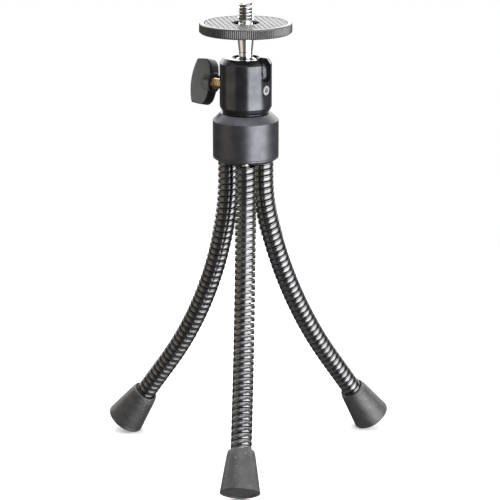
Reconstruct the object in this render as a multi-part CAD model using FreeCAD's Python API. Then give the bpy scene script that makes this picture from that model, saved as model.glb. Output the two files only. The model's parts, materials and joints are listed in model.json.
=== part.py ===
import FreeCAD, Part
import math
import os

# Small camera tripod: a ball head on three legs of bendable gooseneck.
# Millimetres, +Z up. The origin is on the floor, on the axis of the hub.
# The front leg points along -Y. Angles are in degrees, counted from +X.

# ---- Driving dimensions -------------------------------------------------

RUNNING = 0.05                 # radial clearance of a shaft in its hole

# Hub
HUB_R = 12.5
HUB_BOTTOM = 117.4             # height of the hub's lower face
HUB_SEAM = 119.4               # joint between the leg plate and the cover
HUB_CONE_Z = 133.1             # where the cover's cone starts
HUB_TOP = 135.85
HUB_TOP_R = 9.7
HUB_BEVEL_R = 10.4             # lower face of the leg plate
HUB_BEVEL_Z = 118.8
HUB_WALL = 0.95
HUB_ROOF = 131.0               # inside height of the cover
SPIGOT_TOP = 123.4             # top of the leg plate, inside the cover
STUD_R = 3.0                   # centre screw that holds the head on the hub
STUD_TOP = 140.5
WASHER_R = 3.45
WASHER_T = 0.5
SCREW_HEAD_R = 3.3
SCREW_HEAD_H = 2.0
SCREW_SOCKET_R = 1.6           # corners of the hexagon socket
SCREW_SOCKET_DEPTH = 1.2

# Head
HEAD_R = 9.85
HEAD_BOTTOM = 136.0
HEAD_NECK_R = 8.75
HEAD_NECK_H = 0.4              # straight foot of the housing, below its lower chamfer
HEAD_NECK_Z = 138.4            # end of the lower chamfer
HEAD_SHOULDER_Z = 154.9
HEAD_TOP = 157.0
HEAD_TOP_R = 8.35
HEAD_CROWN = 0.3               # how far the shoulder bulges beyond its chord
HEAD_MOUTH_R = 5.4             # countersink round the stem, at the top face
HEAD_MOUTH_LOW_R = 3.6
HEAD_MOUTH_DEPTH = 2.6
HEAD_BORE_R = 6.5
PLUG_TOP = 141.0
BALL_Z = 151.2
BALL_R = 6.4
SLOT_AZIMUTH = -37.0           # the side where the stem can drop
SLOT_R = 2.8
CLAMP_Z = 145.4                # height of the lock screw and the guide screw

# Ball cup, pushed up by the lock screw
CUP_BOTTOM = 141.8
CUP_TOP = 149.6
CUP_R = 6.4
CUP_RELIEF_R = 3.0             # room for the dropped stem at the cup's rim
GUIDE_R = 1.8
GUIDE_TIP_R = 0.9
GUIDE_TIP_AT = 5.0             # distance of the tip from the head's axis
GUIDE_SET_BACK = 0.15          # the screw stands this far inside the barrel's face
GUIDE_SOCKET_R = 1.0
GUIDE_SOCKET_DEPTH = 1.45
GROOVE_AT = 4.7                # groove in the cup for the guide's tip
GROOVE_DROP = 2.0
GROOVE_SIDE_PLAY = 0.15

# Lock screw and its wing knob
LOCK_R = 1.95
LOCK_TIP_R = 0.4
LOCK_TIP_AT = 4.9              # distance of the tip from the head's axis
LOCK_TAPER_AT = 6.45
LOCK_END_AT = 20.6
DIMPLE_PLAY = 0.2              # round the cone of the lock screw, in the cup
DIMPLE_DROP = 0.15             # the dimple lies lower, so that the cone lifts the cup
KNOB_BOSS_AT = 14.7
KNOB_WING_AT = 15.25
KNOB_END_AT = 24.4
KNOB_BOSS_R = 4.0
KNOB_BOSS_LENGTH = 3.0
KNOB_ROOT_HALF = 3.6           # half width of the wing beside the boss
KNOB_HALF_SPAN = 8.85
KNOB_HALF_T = 2.75
KNOB_SWEEP = 0.8               # how far the wing's tips bend away from the housing
KNOB_CORNER = 1.8              # slant of the wing's inner corners
KNOB_TIP_BACK = 1.7            # from the end of the wing back to its outer corners
KNOB_TIP_IN = 0.4
KNOB_FILLET = 0.7
KNOB_BORE_PLAY = 0.3           # past the end of the screw
KNOB_TURN = 14.0

# Stem, camera screw and platform
STEM_R = 2.5
STEM_FLARE = 0.15              # extra radius of the stem's foot
STEM_LAP = 0.3                 # how far the hollow foot reaches round the ball
STEM_TOP_R = 2.95
STEM_WAIST_Z = 158.8
STEM_TAPER_Z = 162.6
STEM_TOP = 166.25
PIN_R = 1.5                    # pin of the camera screw inside the stem
PIN_LENGTH = 4.0
PIN_END_PLAY = 0.3
DISC_R = 17.5
DISC_BOTTOM = 166.35
DISC_TOP = 170.15
DISC_WEB = 1.0                 # floor of the round window
DISC_FILLET = 0.35
WINDOW_R = 5.15
PAD_R = 15.7
PAD_DEPTH = 1.0
KEY_HALF_WIDTH = 2.6
THREAD_R = 3.175               # 1/4 inch camera thread, outside
UNDERCUT_R = 2.5
THREAD_BOTTOM = 171.2
THREAD_LEAD_IN = 0.4
SCREW_TOP = 177.6
SCREW_CHAMFER = 0.6

# Legs
LEG_CIRCLE_R = 7.6             # circle of the three leg roots
LEG_R = 4.0
LEG_BORE_R = 1.5
LEG_ROOT_LENGTH = 7.0          # straight stretch below the hub
SECTION_LENGTH = 17.0          # along the leg's curve, from joint to joint
SECTIONS = 6
KNUCKLE_R = 3.1                # ball at the top of each section
KNUCKLE_NECK_R = 2.35
SHOULDER_AT = 3.0              # start of the full section, below the joint
SOCKET_LIP = 0.9               # how far a socket reaches past the joint
LEG_COUNTERBORE = 1.2
LEG_PIN_R = 2.0
LEG_PIN_HEAD_R = 3.2
LEG_PIN_HEAD_H = 1.5
LEG_PIN_SPIGOT = 4.5

# name: azimuth of the root, swing about the root, bend of the first section,
# bend of the whole leg
LEGS = {
    "front": (-90.0, -2.4, 12.2, 36.1),
    "right": (30.0, 0.8, 14.5, 36.0),
    "left": (150.0, 2.3, 9.7, 36.2),
}

# Feet
FOOT_LENGTH = 16.5
FOOT_TOP_R = 5.15
FOOT_BOTTOM_R = 7.6
FOOT_EDGE = 0.6                # rounding of the lower edge
FOOT_RIM = 1.0                 # rounding of the upper edge
FOOT_BORE_DEPTH = 10.0
END_CAP_T = 1.2

UP = FreeCAD.Vector(0, 0, 1)
ORIGIN = FreeCAD.Vector(0, 0, 0)


# ---- Helpers ------------------------------------------------------------

def cylinder(radius, bottom, top):
    """A cylinder on the Z axis between two heights."""
    return Part.makeCylinder(radius, top - bottom, FreeCAD.Vector(0, 0, bottom))


def cone(bottom_radius, top_radius, bottom, top):
    """A cone on the Z axis between two heights."""
    place = FreeCAD.Vector(0, 0, bottom)
    return Part.makeCone(bottom_radius, top_radius, top - bottom, place)


def turned(*profile):
    """A solid turned about Z from (radius, height) points; a third pair makes an arc through it."""
    edges = []
    start = profile[0][:2]
    for step in profile[1:] + (start,):
        here = FreeCAD.Vector(start[0], 0, start[1])
        end = FreeCAD.Vector(step[-2], 0, step[-1])
        if len(step) == 4:
            middle = FreeCAD.Vector(step[0], 0, step[1])
            edges.append(Part.Arc(here, middle, end).toShape())
        elif here.distanceToPoint(end) > 1e-6:
            edges.append(Part.LineSegment(here, end).toShape())
        start = (step[-2], step[-1])
    return Part.Face(Part.Wire(edges)).revolve(ORIGIN, UP, 360)


def arc_to(centre, radius, start, end):
    """The middle and end points of an arc in a turned profile, from angle to angle."""
    half = math.radians((start + end) / 2)
    last = math.radians(end)
    return (centre[0] + radius * math.cos(half), centre[1] + radius * math.sin(half),
            centre[0] + radius * math.cos(last), centre[1] + radius * math.sin(last))


def aimed(shape, azimuth, height=0.0):
    """A shape made along Z, laid along a horizontal direction at a height on the head's axis."""
    laid = shape.copy()
    laid.rotate(ORIGIN, FreeCAD.Vector(0, 1, 0), 90)
    laid.rotate(ORIGIN, UP, azimuth)
    laid.translate(FreeCAD.Vector(0, 0, height))
    return laid


def hexagon_socket(corner_radius, bottom, depth):
    """A hexagonal prism on the Z axis, to cut as a key's socket."""
    corners = [FreeCAD.Vector(corner_radius * math.cos(k * math.pi / 3),
                              corner_radius * math.sin(k * math.pi / 3), bottom) for k in range(7)]
    return Part.Face(Part.makePolygon(corners)).extrude(UP * depth)


def save(name, shape):
    """One clean solid per node."""
    shape.exportStep("parts/%s.step" % name)


# ---- Hub ----------------------------------------------------------------

def hub_cover():
    """Turned cap with a conical top, open below."""
    body = turned((0, HUB_SEAM), (HUB_R, HUB_SEAM), (HUB_R, HUB_CONE_Z), (HUB_TOP_R, HUB_TOP),
                  (0, HUB_TOP))
    body = body.cut(cylinder(HUB_R - HUB_WALL, HUB_SEAM - 1, HUB_ROOF))
    return body.cut(cylinder(STUD_R + RUNNING, HUB_ROOF - 1, HUB_TOP + 1))


def leg_place(shape, azimuth):
    """Move a shape from the axis to a leg root."""
    moved = shape.copy()
    angle = math.radians(azimuth)
    moved.translate(FreeCAD.Vector(LEG_CIRCLE_R * math.cos(angle), LEG_CIRCLE_R * math.sin(angle), 0))
    return moved


def leg_plate():
    """Floor of the hub: it seats in the cover and holds the three leg roots."""
    spigot_r = HUB_R - HUB_WALL - RUNNING
    body = turned((0, HUB_BOTTOM), (HUB_BEVEL_R, HUB_BOTTOM), (HUB_R, HUB_BEVEL_Z), (HUB_R, HUB_SEAM),
                  (spigot_r, HUB_SEAM), (spigot_r, SPIGOT_TOP), (0, SPIGOT_TOP))
    body = body.cut(cylinder(STUD_R + RUNNING, HUB_BOTTOM - 1, SPIGOT_TOP + 1))
    recess = cylinder(LEG_R + 2 * RUNNING, HUB_BOTTOM - 1, HUB_BOTTOM + LEG_COUNTERBORE)
    hole = cylinder(LEG_PIN_R + RUNNING, HUB_BOTTOM - 1, SPIGOT_TOP + 1)
    for azimuth, _, _, _ in LEGS.values():
        body = body.cut(leg_place(recess.fuse(hole), azimuth))
    return body


def hub_screw():
    """Socket-head screw up through the plate and the cover into the head."""
    head_top = HUB_BOTTOM - WASHER_T
    head = cylinder(SCREW_HEAD_R, head_top - SCREW_HEAD_H, head_top)
    socket = hexagon_socket(SCREW_SOCKET_R, head_top - SCREW_HEAD_H, SCREW_SOCKET_DEPTH)
    return head.cut(socket).fuse(cylinder(STUD_R, head_top, STUD_TOP)).removeSplitter()


def hub_washer():
    """Washer under the screw's head."""
    washer = cylinder(WASHER_R, HUB_BOTTOM - WASHER_T, HUB_BOTTOM)
    return washer.cut(cylinder(STUD_R + RUNNING, HUB_BOTTOM - 1, HUB_BOTTOM + 1))


# ---- Head ---------------------------------------------------------------

def head_housing():
    """Barrel of the ball head: a round seat above the ball, a bore below and a slot at one side."""
    shoulder = (HEAD_R + HEAD_TOP_R) / 2 + HEAD_CROWN, (HEAD_SHOULDER_Z + HEAD_TOP) / 2 + HEAD_CROWN
    body = turned((0, HEAD_BOTTOM), (HEAD_NECK_R, HEAD_BOTTOM), (HEAD_NECK_R, HEAD_BOTTOM + HEAD_NECK_H),
                  (HEAD_R, HEAD_NECK_Z), (HEAD_R, HEAD_SHOULDER_Z),
                  (shoulder[0], shoulder[1], HEAD_TOP_R, HEAD_TOP), (0, HEAD_TOP))
    seat = Part.makeSphere(BALL_R + RUNNING, FreeCAD.Vector(0, 0, BALL_Z))
    mouth = cone(HEAD_MOUTH_LOW_R, HEAD_MOUTH_R, HEAD_TOP - HEAD_MOUTH_DEPTH, HEAD_TOP)
    slot = aimed(cylinder(SLOT_R, 0, 2 * HEAD_R), SLOT_AZIMUTH, BALL_Z)
    chute = Part.makeBox(2 * HEAD_R, 2 * SLOT_R, HEAD_R, FreeCAD.Vector(0, -SLOT_R, BALL_Z))
    chute.rotate(ORIGIN, UP, SLOT_AZIMUTH)
    guide = aimed(cylinder(GUIDE_R, 0, 2 * HEAD_R), SLOT_AZIMUTH, CLAMP_Z)
    lock = aimed(cylinder(LOCK_R + RUNNING, 0, 2 * HEAD_R), SLOT_AZIMUTH + 180, CLAMP_Z)
    for tool in (cylinder(HEAD_BORE_R, HEAD_BOTTOM - 1, BALL_Z), seat, mouth, slot, chute, guide, lock):
        body = body.cut(tool)
    return body


def base_plug():
    """Threaded plug that closes the housing and takes the hub's screw."""
    plug = cylinder(HEAD_BORE_R, HEAD_BOTTOM, PLUG_TOP)
    return plug.cut(cylinder(STUD_R + RUNNING, HEAD_BOTTOM - 1, PLUG_TOP + 1))


def guide_screw():
    """Set screw below the slot; its tip keeps the cup from turning."""
    inner = HEAD_BORE_R + 2 * RUNNING
    face = HEAD_R - GUIDE_SET_BACK
    body = cylinder(GUIDE_R, inner, face)
    tip = cylinder(GUIDE_TIP_R, GUIDE_TIP_AT, inner)
    socket = hexagon_socket(GUIDE_SOCKET_R, face - GUIDE_SOCKET_DEPTH, 2 * GUIDE_SOCKET_DEPTH)
    return aimed(body.fuse(tip).cut(socket), SLOT_AZIMUTH, CLAMP_Z)


def ball_cup():
    """Plastic cup under the ball, with a dimple for the lock screw, a groove for the guide and a
    relief in its rim for the dropped stem."""
    cup = cylinder(CUP_R, CUP_BOTTOM, CUP_TOP)
    cup = cup.cut(Part.makeSphere(BALL_R + RUNNING, FreeCAD.Vector(0, 0, BALL_Z)))
    dimple = cone(LOCK_TIP_R + DIMPLE_PLAY, LOCK_R + DIMPLE_PLAY, LOCK_TIP_AT - DIMPLE_DROP, LOCK_TAPER_AT)
    cup = cup.cut(aimed(dimple, SLOT_AZIMUTH + 180, CLAMP_Z - DIMPLE_DROP))
    half = GUIDE_TIP_R + GROOVE_SIDE_PLAY
    groove = Part.makeBox(CUP_R, 2 * half, CUP_TOP, FreeCAD.Vector(GROOVE_AT, -half, CLAMP_Z - GROOVE_DROP))
    groove.rotate(ORIGIN, UP, SLOT_AZIMUTH)
    relief = aimed(cylinder(CUP_RELIEF_R, 0, 2 * CUP_R), SLOT_AZIMUTH, BALL_Z)
    return cup.cut(groove).cut(relief)


def ball():
    """Clamped ball."""
    return Part.makeSphere(BALL_R, FreeCAD.Vector(0, 0, BALL_Z))


def stem():
    """Tapered stem with a hollow foot that sits on the ball."""
    foot_z = BALL_Z + math.sqrt((BALL_R + RUNNING) ** 2 - STEM_R ** 2) - STEM_LAP
    body = turned((0, foot_z), (STEM_R + STEM_FLARE, foot_z), (STEM_R, STEM_WAIST_Z), (STEM_TOP_R, STEM_TAPER_Z),
                  (STEM_TOP_R, STEM_TOP), (0, STEM_TOP))
    body = body.cut(Part.makeSphere(BALL_R + RUNNING, FreeCAD.Vector(0, 0, BALL_Z)))
    return body.cut(cylinder(PIN_R + RUNNING, STEM_TOP - PIN_LENGTH - PIN_END_PLAY, STEM_TOP + 1))


# ---- Lock screw and knob ------------------------------------------------

def lock_screw():
    """Brass screw with a conical tip that lifts the cup."""
    body = cone(LOCK_TIP_R, LOCK_R, LOCK_TIP_AT, LOCK_TAPER_AT)
    body = body.fuse(cylinder(LOCK_R, LOCK_TAPER_AT, LOCK_END_AT))
    return aimed(body.removeSplitter(), SLOT_AZIMUTH + 180, CLAMP_Z)


def wing_knob():
    """Flat wing on a round boss; the wing's tips are swept away from the housing."""
    bend_at = KNOB_WING_AT + KNOB_SWEEP
    corners = [(KNOB_WING_AT, KNOB_ROOT_HALF), (bend_at, KNOB_HALF_SPAN - KNOB_CORNER),
               (bend_at + KNOB_CORNER, KNOB_HALF_SPAN), (KNOB_END_AT - KNOB_TIP_BACK, KNOB_HALF_SPAN - KNOB_TIP_IN)]
    upper = [FreeCAD.Vector(x, 0, z) for x, z in corners]
    lower = [FreeCAD.Vector(x, 0, -z) for x, z in corners]
    outer = Part.Arc(upper[-1], FreeCAD.Vector(KNOB_END_AT, 0, 0), lower[-1]).toShape()
    sides = Part.makePolygon(lower[::-1] + upper)
    face = Part.Face(Part.Wire([outer] + sides.Edges))
    wing = face.extrude(FreeCAD.Vector(0, 2 * KNOB_HALF_T, 0))
    wing.translate(FreeCAD.Vector(0, -KNOB_HALF_T, 0))
    wing = wing.makeFillet(KNOB_FILLET, wing.Edges)
    outward = FreeCAD.Vector(1, 0, 0)
    boss = Part.makeCylinder(KNOB_BOSS_R, KNOB_BOSS_LENGTH, outward * KNOB_BOSS_AT, outward)
    bore = Part.makeCylinder(LOCK_R + RUNNING, LOCK_END_AT + KNOB_BORE_PLAY, ORIGIN, outward)
    knob = wing.fuse(boss).cut(bore)
    knob.rotate(ORIGIN, outward, KNOB_TURN)
    knob.rotate(ORIGIN, UP, SLOT_AZIMUTH + 180)
    knob.translate(FreeCAD.Vector(0, 0, CLAMP_Z))
    return knob


# ---- Camera mount -------------------------------------------------------

def camera_screw():
    """Camera screw: pin, flat key inside the disc, undercut and thread."""
    key_bottom = DISC_BOTTOM + DISC_WEB
    key = cylinder(WINDOW_R, key_bottom, DISC_TOP)
    sides = Part.makeBox(2 * KEY_HALF_WIDTH, 2 * WINDOW_R, DISC_TOP - key_bottom,
                         FreeCAD.Vector(-KEY_HALF_WIDTH, -WINDOW_R, key_bottom))
    thread = turned((0, DISC_TOP), (UNDERCUT_R, DISC_TOP), (UNDERCUT_R, THREAD_BOTTOM - THREAD_LEAD_IN),
                    (THREAD_R, THREAD_BOTTOM), (THREAD_R, SCREW_TOP - SCREW_CHAMFER),
                    (THREAD_R - SCREW_CHAMFER, SCREW_TOP), (0, SCREW_TOP))
    pin = cylinder(PIN_R, STEM_TOP - PIN_LENGTH, key_bottom)
    return key.common(sides).fuse(thread).fuse(pin).removeSplitter()


def platform_disc():
    """Round camera plate with a recess for the pad and a round window."""
    disc = cylinder(DISC_R, DISC_BOTTOM, DISC_TOP)
    disc = disc.makeFillet(DISC_FILLET, [edge for edge in disc.Edges if len(edge.Vertexes) == 1])
    disc = disc.cut(cylinder(PAD_R, DISC_TOP - PAD_DEPTH, DISC_TOP + 1))
    disc = disc.cut(cylinder(WINDOW_R, DISC_BOTTOM + DISC_WEB, DISC_TOP + 1))
    return disc.cut(cylinder(PIN_R, DISC_BOTTOM - 1, DISC_TOP))


def grip_pad():
    """Ribbed sheet in the recess of the disc."""
    pad = cylinder(PAD_R, DISC_TOP - PAD_DEPTH, DISC_TOP)
    return pad.cut(cylinder(WINDOW_R + RUNNING, DISC_TOP - PAD_DEPTH - 1, DISC_TOP + 1))


# ---- Legs ---------------------------------------------------------------

def foot_height(tilt):
    """Height of the middle of a foot's sole when its rounded lower edge rests on the floor."""
    corner = math.pi / 2 - math.atan2(FOOT_BOTTOM_R - FOOT_TOP_R, FOOT_LENGTH)
    flat_r = FOOT_BOTTOM_R - FOOT_EDGE / math.tan(corner / 2)
    return flat_r * math.sin(tilt) + FOOT_EDGE * (1 - math.cos(tilt))


def leg_joints(first_bend, whole_bend):
    """Joints of a leg in its own plane, as (distance from the hub's axis, height), and the sole."""
    first, whole = math.radians(first_bend), math.radians(whole_bend)
    radius = SECTION_LENGTH / first
    points = [(LEG_CIRCLE_R, HUB_BOTTOM - LEG_ROOT_LENGTH)]
    points.append((points[0][0] + radius * (1 - math.cos(first)), points[0][1] - radius * math.sin(first)))
    curved = SECTIONS - 2
    radius = curved * SECTION_LENGTH / (whole - first)
    for k in range(1, curved + 1):
        angle = first + (whole - first) * k / curved
        points.append((points[1][0] + radius * (math.cos(first) - math.cos(angle)),
                       points[1][1] - radius * (math.sin(angle) - math.sin(first))))
    length = (points[-1][1] - foot_height(whole)) / math.cos(whole)
    sole = (points[-1][0] + length * math.sin(whole), foot_height(whole))
    return points, sole


def section(length, is_last):
    """One stretch of gooseneck along -Z from the joint at the origin to the next joint."""
    neck_z = -math.sqrt(KNUCKLE_R ** 2 - KNUCKLE_NECK_R ** 2)
    neck_angle = math.degrees(math.atan2(neck_z, KNUCKLE_NECK_R))
    bore_angle = math.degrees(math.acos(LEG_BORE_R / KNUCKLE_R))
    bottom = -length - (0 if is_last else SOCKET_LIP)
    body = turned((LEG_BORE_R, bottom), (LEG_R, bottom), (LEG_R, -SHOULDER_AT),
                  (KNUCKLE_NECK_R, -SHOULDER_AT), (KNUCKLE_NECK_R, neck_z),
                  arc_to((0, 0), KNUCKLE_R, neck_angle, bore_angle))
    if not is_last:
        body = body.cut(Part.makeSphere(KNUCKLE_R + RUNNING, FreeCAD.Vector(0, 0, -length)))
    return body


def leg_root():
    """Straight top end of the gooseneck, from the hub to the first joint."""
    top = HUB_BOTTOM + LEG_COUNTERBORE - 2 * RUNNING
    first_joint = HUB_BOTTOM - LEG_ROOT_LENGTH
    body = cylinder(LEG_R, first_joint - SOCKET_LIP, top)
    body = body.cut(cylinder(LEG_BORE_R, first_joint - 1, top + 1))
    return body.cut(Part.makeSphere(KNUCKLE_R + RUNNING, FreeCAD.Vector(0, 0, first_joint)))


def leg_pin():
    """Headed pin that hangs the leg in the plate."""
    root_top = HUB_BOTTOM + LEG_COUNTERBORE - 2 * RUNNING
    head_bottom = SPIGOT_TOP + 2 * RUNNING
    pin = cylinder(LEG_BORE_R, root_top - LEG_PIN_SPIGOT, root_top)
    pin = pin.fuse(cylinder(LEG_PIN_R, root_top, head_bottom))
    return pin.fuse(cylinder(LEG_PIN_HEAD_R, head_bottom, head_bottom + LEG_PIN_HEAD_H)).removeSplitter()


def rubber_foot(sole_at):
    """Conical foot on the end of the leg, with its sole at a distance below the last joint."""
    top = -sole_at + FOOT_LENGTH
    foot = cone(FOOT_BOTTOM_R, FOOT_TOP_R, -sole_at, top)
    for height, rounding in ((-sole_at, FOOT_EDGE), (top, FOOT_RIM)):
        rim = [e for e in foot.Edges if len(e.Vertexes) == 1 and abs(e.CenterOfMass.z - height) < 0.01]
        foot = foot.makeFillet(rounding, rim)
    return foot.cut(cylinder(LEG_R, top - FOOT_BORE_DEPTH, top + 1))


def end_cap(section_end):
    """Cap that closes the gooseneck's end inside the foot."""
    cap = cylinder(LEG_R, -section_end, -section_end + END_CAP_T)
    return cap.fuse(cylinder(LEG_BORE_R, -section_end + END_CAP_T, -section_end + 4 * END_CAP_T))


def in_leg(shape, joint, direction, azimuth, swing):
    """Put a piece made along -Z at a joint of a leg, along a direction in the leg's plane."""
    placed = shape.copy()
    placed.rotate(ORIGIN, FreeCAD.Vector(0, 1, 0), -math.degrees(direction))
    placed.translate(FreeCAD.Vector(joint[0] - LEG_CIRCLE_R, 0, joint[1]))
    placed.rotate(ORIGIN, UP, azimuth + swing)
    return leg_place(placed, azimuth)


def save_leg(name, azimuth, swing, first_bend, whole_bend):
    """Every piece of one leg."""
    joints, sole = leg_joints(first_bend, whole_bend)
    ends = joints[1:] + [sole]
    save("leg_%s_root" % name, leg_place(leg_root(), azimuth))
    save("leg_%s_pin" % name, leg_place(leg_pin(), azimuth))
    for number, (start, end) in enumerate(zip(joints, ends), 1):
        reach, drop = end[0] - start[0], start[1] - end[1]
        length, direction = math.hypot(reach, drop), math.atan2(reach, drop)
        place = (start, direction, azimuth, swing)
        if number < SECTIONS:
            save("leg_%s_section_%d" % (name, number), in_leg(section(length, False), *place))
            continue
        gooseneck_end = length - FOOT_LENGTH + FOOT_BORE_DEPTH - END_CAP_T
        save("leg_%s_section_%d" % (name, number), in_leg(section(gooseneck_end, True), *place))
        save("leg_%s_end_cap" % name, in_leg(end_cap(gooseneck_end + END_CAP_T), *place))
        save("leg_%s_foot" % name, in_leg(rubber_foot(length), *place))


# ---- All nodes ----------------------------------------------------------

os.makedirs("parts", exist_ok=True)
for make in (hub_cover, leg_plate, hub_screw, hub_washer, head_housing, base_plug, guide_screw, ball_cup,
             ball, stem, lock_screw, wing_knob, camera_screw, platform_disc, grip_pad):
    save(make.__name__, make())
for leg, numbers in LEGS.items():
    save_leg(leg, *numbers)
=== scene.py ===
import json
import math

import bmesh
import bpy
from bpy.props import FloatProperty, FloatVectorProperty, IntProperty, PointerProperty
from mathutils import Matrix, Vector


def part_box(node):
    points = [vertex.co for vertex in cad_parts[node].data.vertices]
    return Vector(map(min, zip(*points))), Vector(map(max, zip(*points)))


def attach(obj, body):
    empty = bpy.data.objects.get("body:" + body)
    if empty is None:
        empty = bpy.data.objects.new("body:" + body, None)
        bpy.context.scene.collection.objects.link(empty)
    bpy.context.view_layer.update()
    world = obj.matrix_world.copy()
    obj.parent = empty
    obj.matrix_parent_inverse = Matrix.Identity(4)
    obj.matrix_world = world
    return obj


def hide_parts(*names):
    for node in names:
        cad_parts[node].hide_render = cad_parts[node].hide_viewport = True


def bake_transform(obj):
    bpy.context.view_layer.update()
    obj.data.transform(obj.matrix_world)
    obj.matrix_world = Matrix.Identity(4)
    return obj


bl_info = {
    "name": "Gooseneck Table Tripod",
    "version": (1, 0, 0),
    "blender": (4, 5, 0),
    "location": "3D View > Sidebar > Tripod",
    "description": "Builds the visible pieces of a small ball head tripod around its packed parts",
    "category": "Add Mesh",
}

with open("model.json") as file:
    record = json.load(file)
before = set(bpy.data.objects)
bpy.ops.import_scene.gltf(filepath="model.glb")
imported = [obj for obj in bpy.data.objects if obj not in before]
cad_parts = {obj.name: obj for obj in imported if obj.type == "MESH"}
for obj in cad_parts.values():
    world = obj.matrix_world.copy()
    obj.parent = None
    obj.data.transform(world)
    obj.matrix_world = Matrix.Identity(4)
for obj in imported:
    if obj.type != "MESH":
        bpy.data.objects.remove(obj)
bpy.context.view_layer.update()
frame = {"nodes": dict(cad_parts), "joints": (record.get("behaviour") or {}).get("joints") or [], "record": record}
JOINTS = {joint["name"]: joint for joint in frame["joints"]}
LEGS = ("front", "right", "left")
MM = 0.001
MICRON = 0.000001
HAIR = 0.02 * MM
SHARP_ANGLE = math.radians(35.0)
SENSOR_WIDTH = 36.0
FINISH_PREFIX = "tripod_"
SLOTS = ("black_anodised", "plain_aluminium", "steel", "chrome", "brass", "black_gooseneck",
         "knob_plastic", "disc_plastic", "pad_rubber", "foot_rubber", "nylon")


# ---- Places taken from the frame -----------------------------------------

def pivot(joint):
    """Where a joint turns."""
    return Vector(JOINTS[joint]["pos_m"])


def heights(node):
    """Lowest and highest level of a part."""
    low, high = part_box(node)
    return low.z, high.z


def half_width(node):
    """Radius of a part turned about the upright axis."""
    low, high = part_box(node)
    return (high.x - low.x) / 2


def outward_azimuth():
    """Direction in which the lock screw points out of the head."""
    axis = JOINTS["knob_turn"]["axis"]
    return math.atan2(axis[1], axis[0])


# ---- Settings a user would change ----------------------------------------

def size(name, description, millimetres):
    """A length, given in millimetres and kept in metres."""
    return FloatProperty(name=name, description=description, default=millimetres * MM, precision=5,
                         unit="LENGTH", subtype="DISTANCE")


def share(name, description, value, highest=1.0):
    """A plain number from nought upwards."""
    return FloatProperty(name=name, description=description, default=value, min=0.0, max=highest)


def turn(name, description, degrees):
    """An angle."""
    return FloatProperty(name=name, description=description, default=math.radians(degrees),
                         unit="ROTATION", subtype="ANGLE")


def tint(name, description, red, green, blue):
    """A colour in linear light."""
    return FloatVectorProperty(name=name, description=description, size=3, min=0.0, max=1.0,
                               default=(red, green, blue), subtype="COLOR")


class TripodStageSettings(bpy.types.PropertyGroup):
    """Camera, floor and light."""
    camera_side: size("Camera side", "How far the camera stands to the right of the head's axis", 1.61)
    camera_back: size("Camera distance", "How far the camera stands in front of the tripod", 834.0)
    camera_height: size("Camera height", "Height of the camera over the floor", 309.4)
    camera_pitch: turn("Camera pitch", "How far the camera looks down", 15.258)
    focal: FloatProperty(name="Focal length", description="Focal length in millimetres", default=161.92)
    floor_radius: size("Floor radius", "Radius of the pale round floor", 330.0)
    back_light: share("Backdrop light", "Brightness of the backdrop behind the tripod", 3.2, 20.0)
    top_light: share("Overhead light", "Extra brightness straight above", 4.2, 20.0)
    high_light: share("High light", "Brightness of the upper part of the room", 1.0, 20.0)
    side_light: share("Side light", "Brightness of the tall soft light at the right", 7.5, 20.0)
    halo_light: share("Halo", "Brightness of the wide glow round the side light", 0.4, 20.0)
    warm_light: share("Warm light", "Brightness of the dim warm wall at the left", 0.8, 20.0)
    bounce_light: share("Bounce", "Brightness of the light from straight below", 0.3, 20.0)
    fill_light: share("Fill light", "Brightness of the dark side of the room", 0.17, 20.0)


class TripodHubSettings(bpy.types.PropertyGroup):
    """Hub below the head."""
    cone_drop: size("Cone height", "Height of the conical top of the hub", 2.75)
    cone_in: size("Cone width", "How far the cone narrows the hub", 2.8)
    wall: size("Wall", "Wall of the cover", 0.95)
    roof: size("Roof", "Thickness of the cover's roof and cone", 4.85)
    bevel_in: size("Bevel width", "How far the lower bevel narrows the plate", 2.1)
    bevel_up: size("Bevel height", "Height of the lower bevel", 1.4)
    hole: size("Screw hole", "Radius of the centre screw's hole", 3.05)
    pin_hole: size("Pin hole", "Radius of the hole for a leg's pin", 2.05)
    fit: size("Fit", "Gap between the leg plate and the cover", 0.05)
    recess_radius: size("Leg recess", "Radius of the recess round a leg", 4.1)
    recess_depth: size("Leg recess depth", "Depth of the recess round a leg", 1.2)
    edge: size("Edge", "Rounding of the turned edges", 0.18)


class TripodHeadSettings(bpy.types.PropertyGroup):
    """Barrel of the ball head."""
    neck_in: size("Neck", "How far the foot of the barrel is set in", 1.1)
    neck_up: size("Neck height", "Height of the straight foot", 0.4)
    chamfer_up: size("Chamfer height", "Height where the lower chamfer ends", 2.4)
    shoulder_drop: size("Shoulder height", "Height of the sloping shoulder", 2.1)
    shoulder_in: size("Shoulder width", "Width of the sloping shoulder", 1.5)
    mouth_radius: size("Mouth", "Radius of the countersink round the stem", 5.4)
    mouth_low_radius: size("Mouth floor", "Radius at the bottom of the countersink", 3.6)
    mouth_depth: size("Mouth depth", "Depth of the countersink", 2.6)
    bore: size("Bore", "Radius of the bore below the ball", 6.5)
    seat_play: size("Seat play", "Gap between the ball and its seat", 0.05)
    slot_radius: size("Slot", "Half width of the slot for the stem", 2.8)
    guide_radius: size("Guide hole", "Radius of the set screw's hole", 1.85)
    lock_radius: size("Lock hole", "Radius of the lock screw's hole", 2.0)
    edge: size("Edge", "Rounding of the turned edges", 0.22)
    slot_edge: size("Slot edge", "Bevel along the slot and the screw holes", 0.22)


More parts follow.
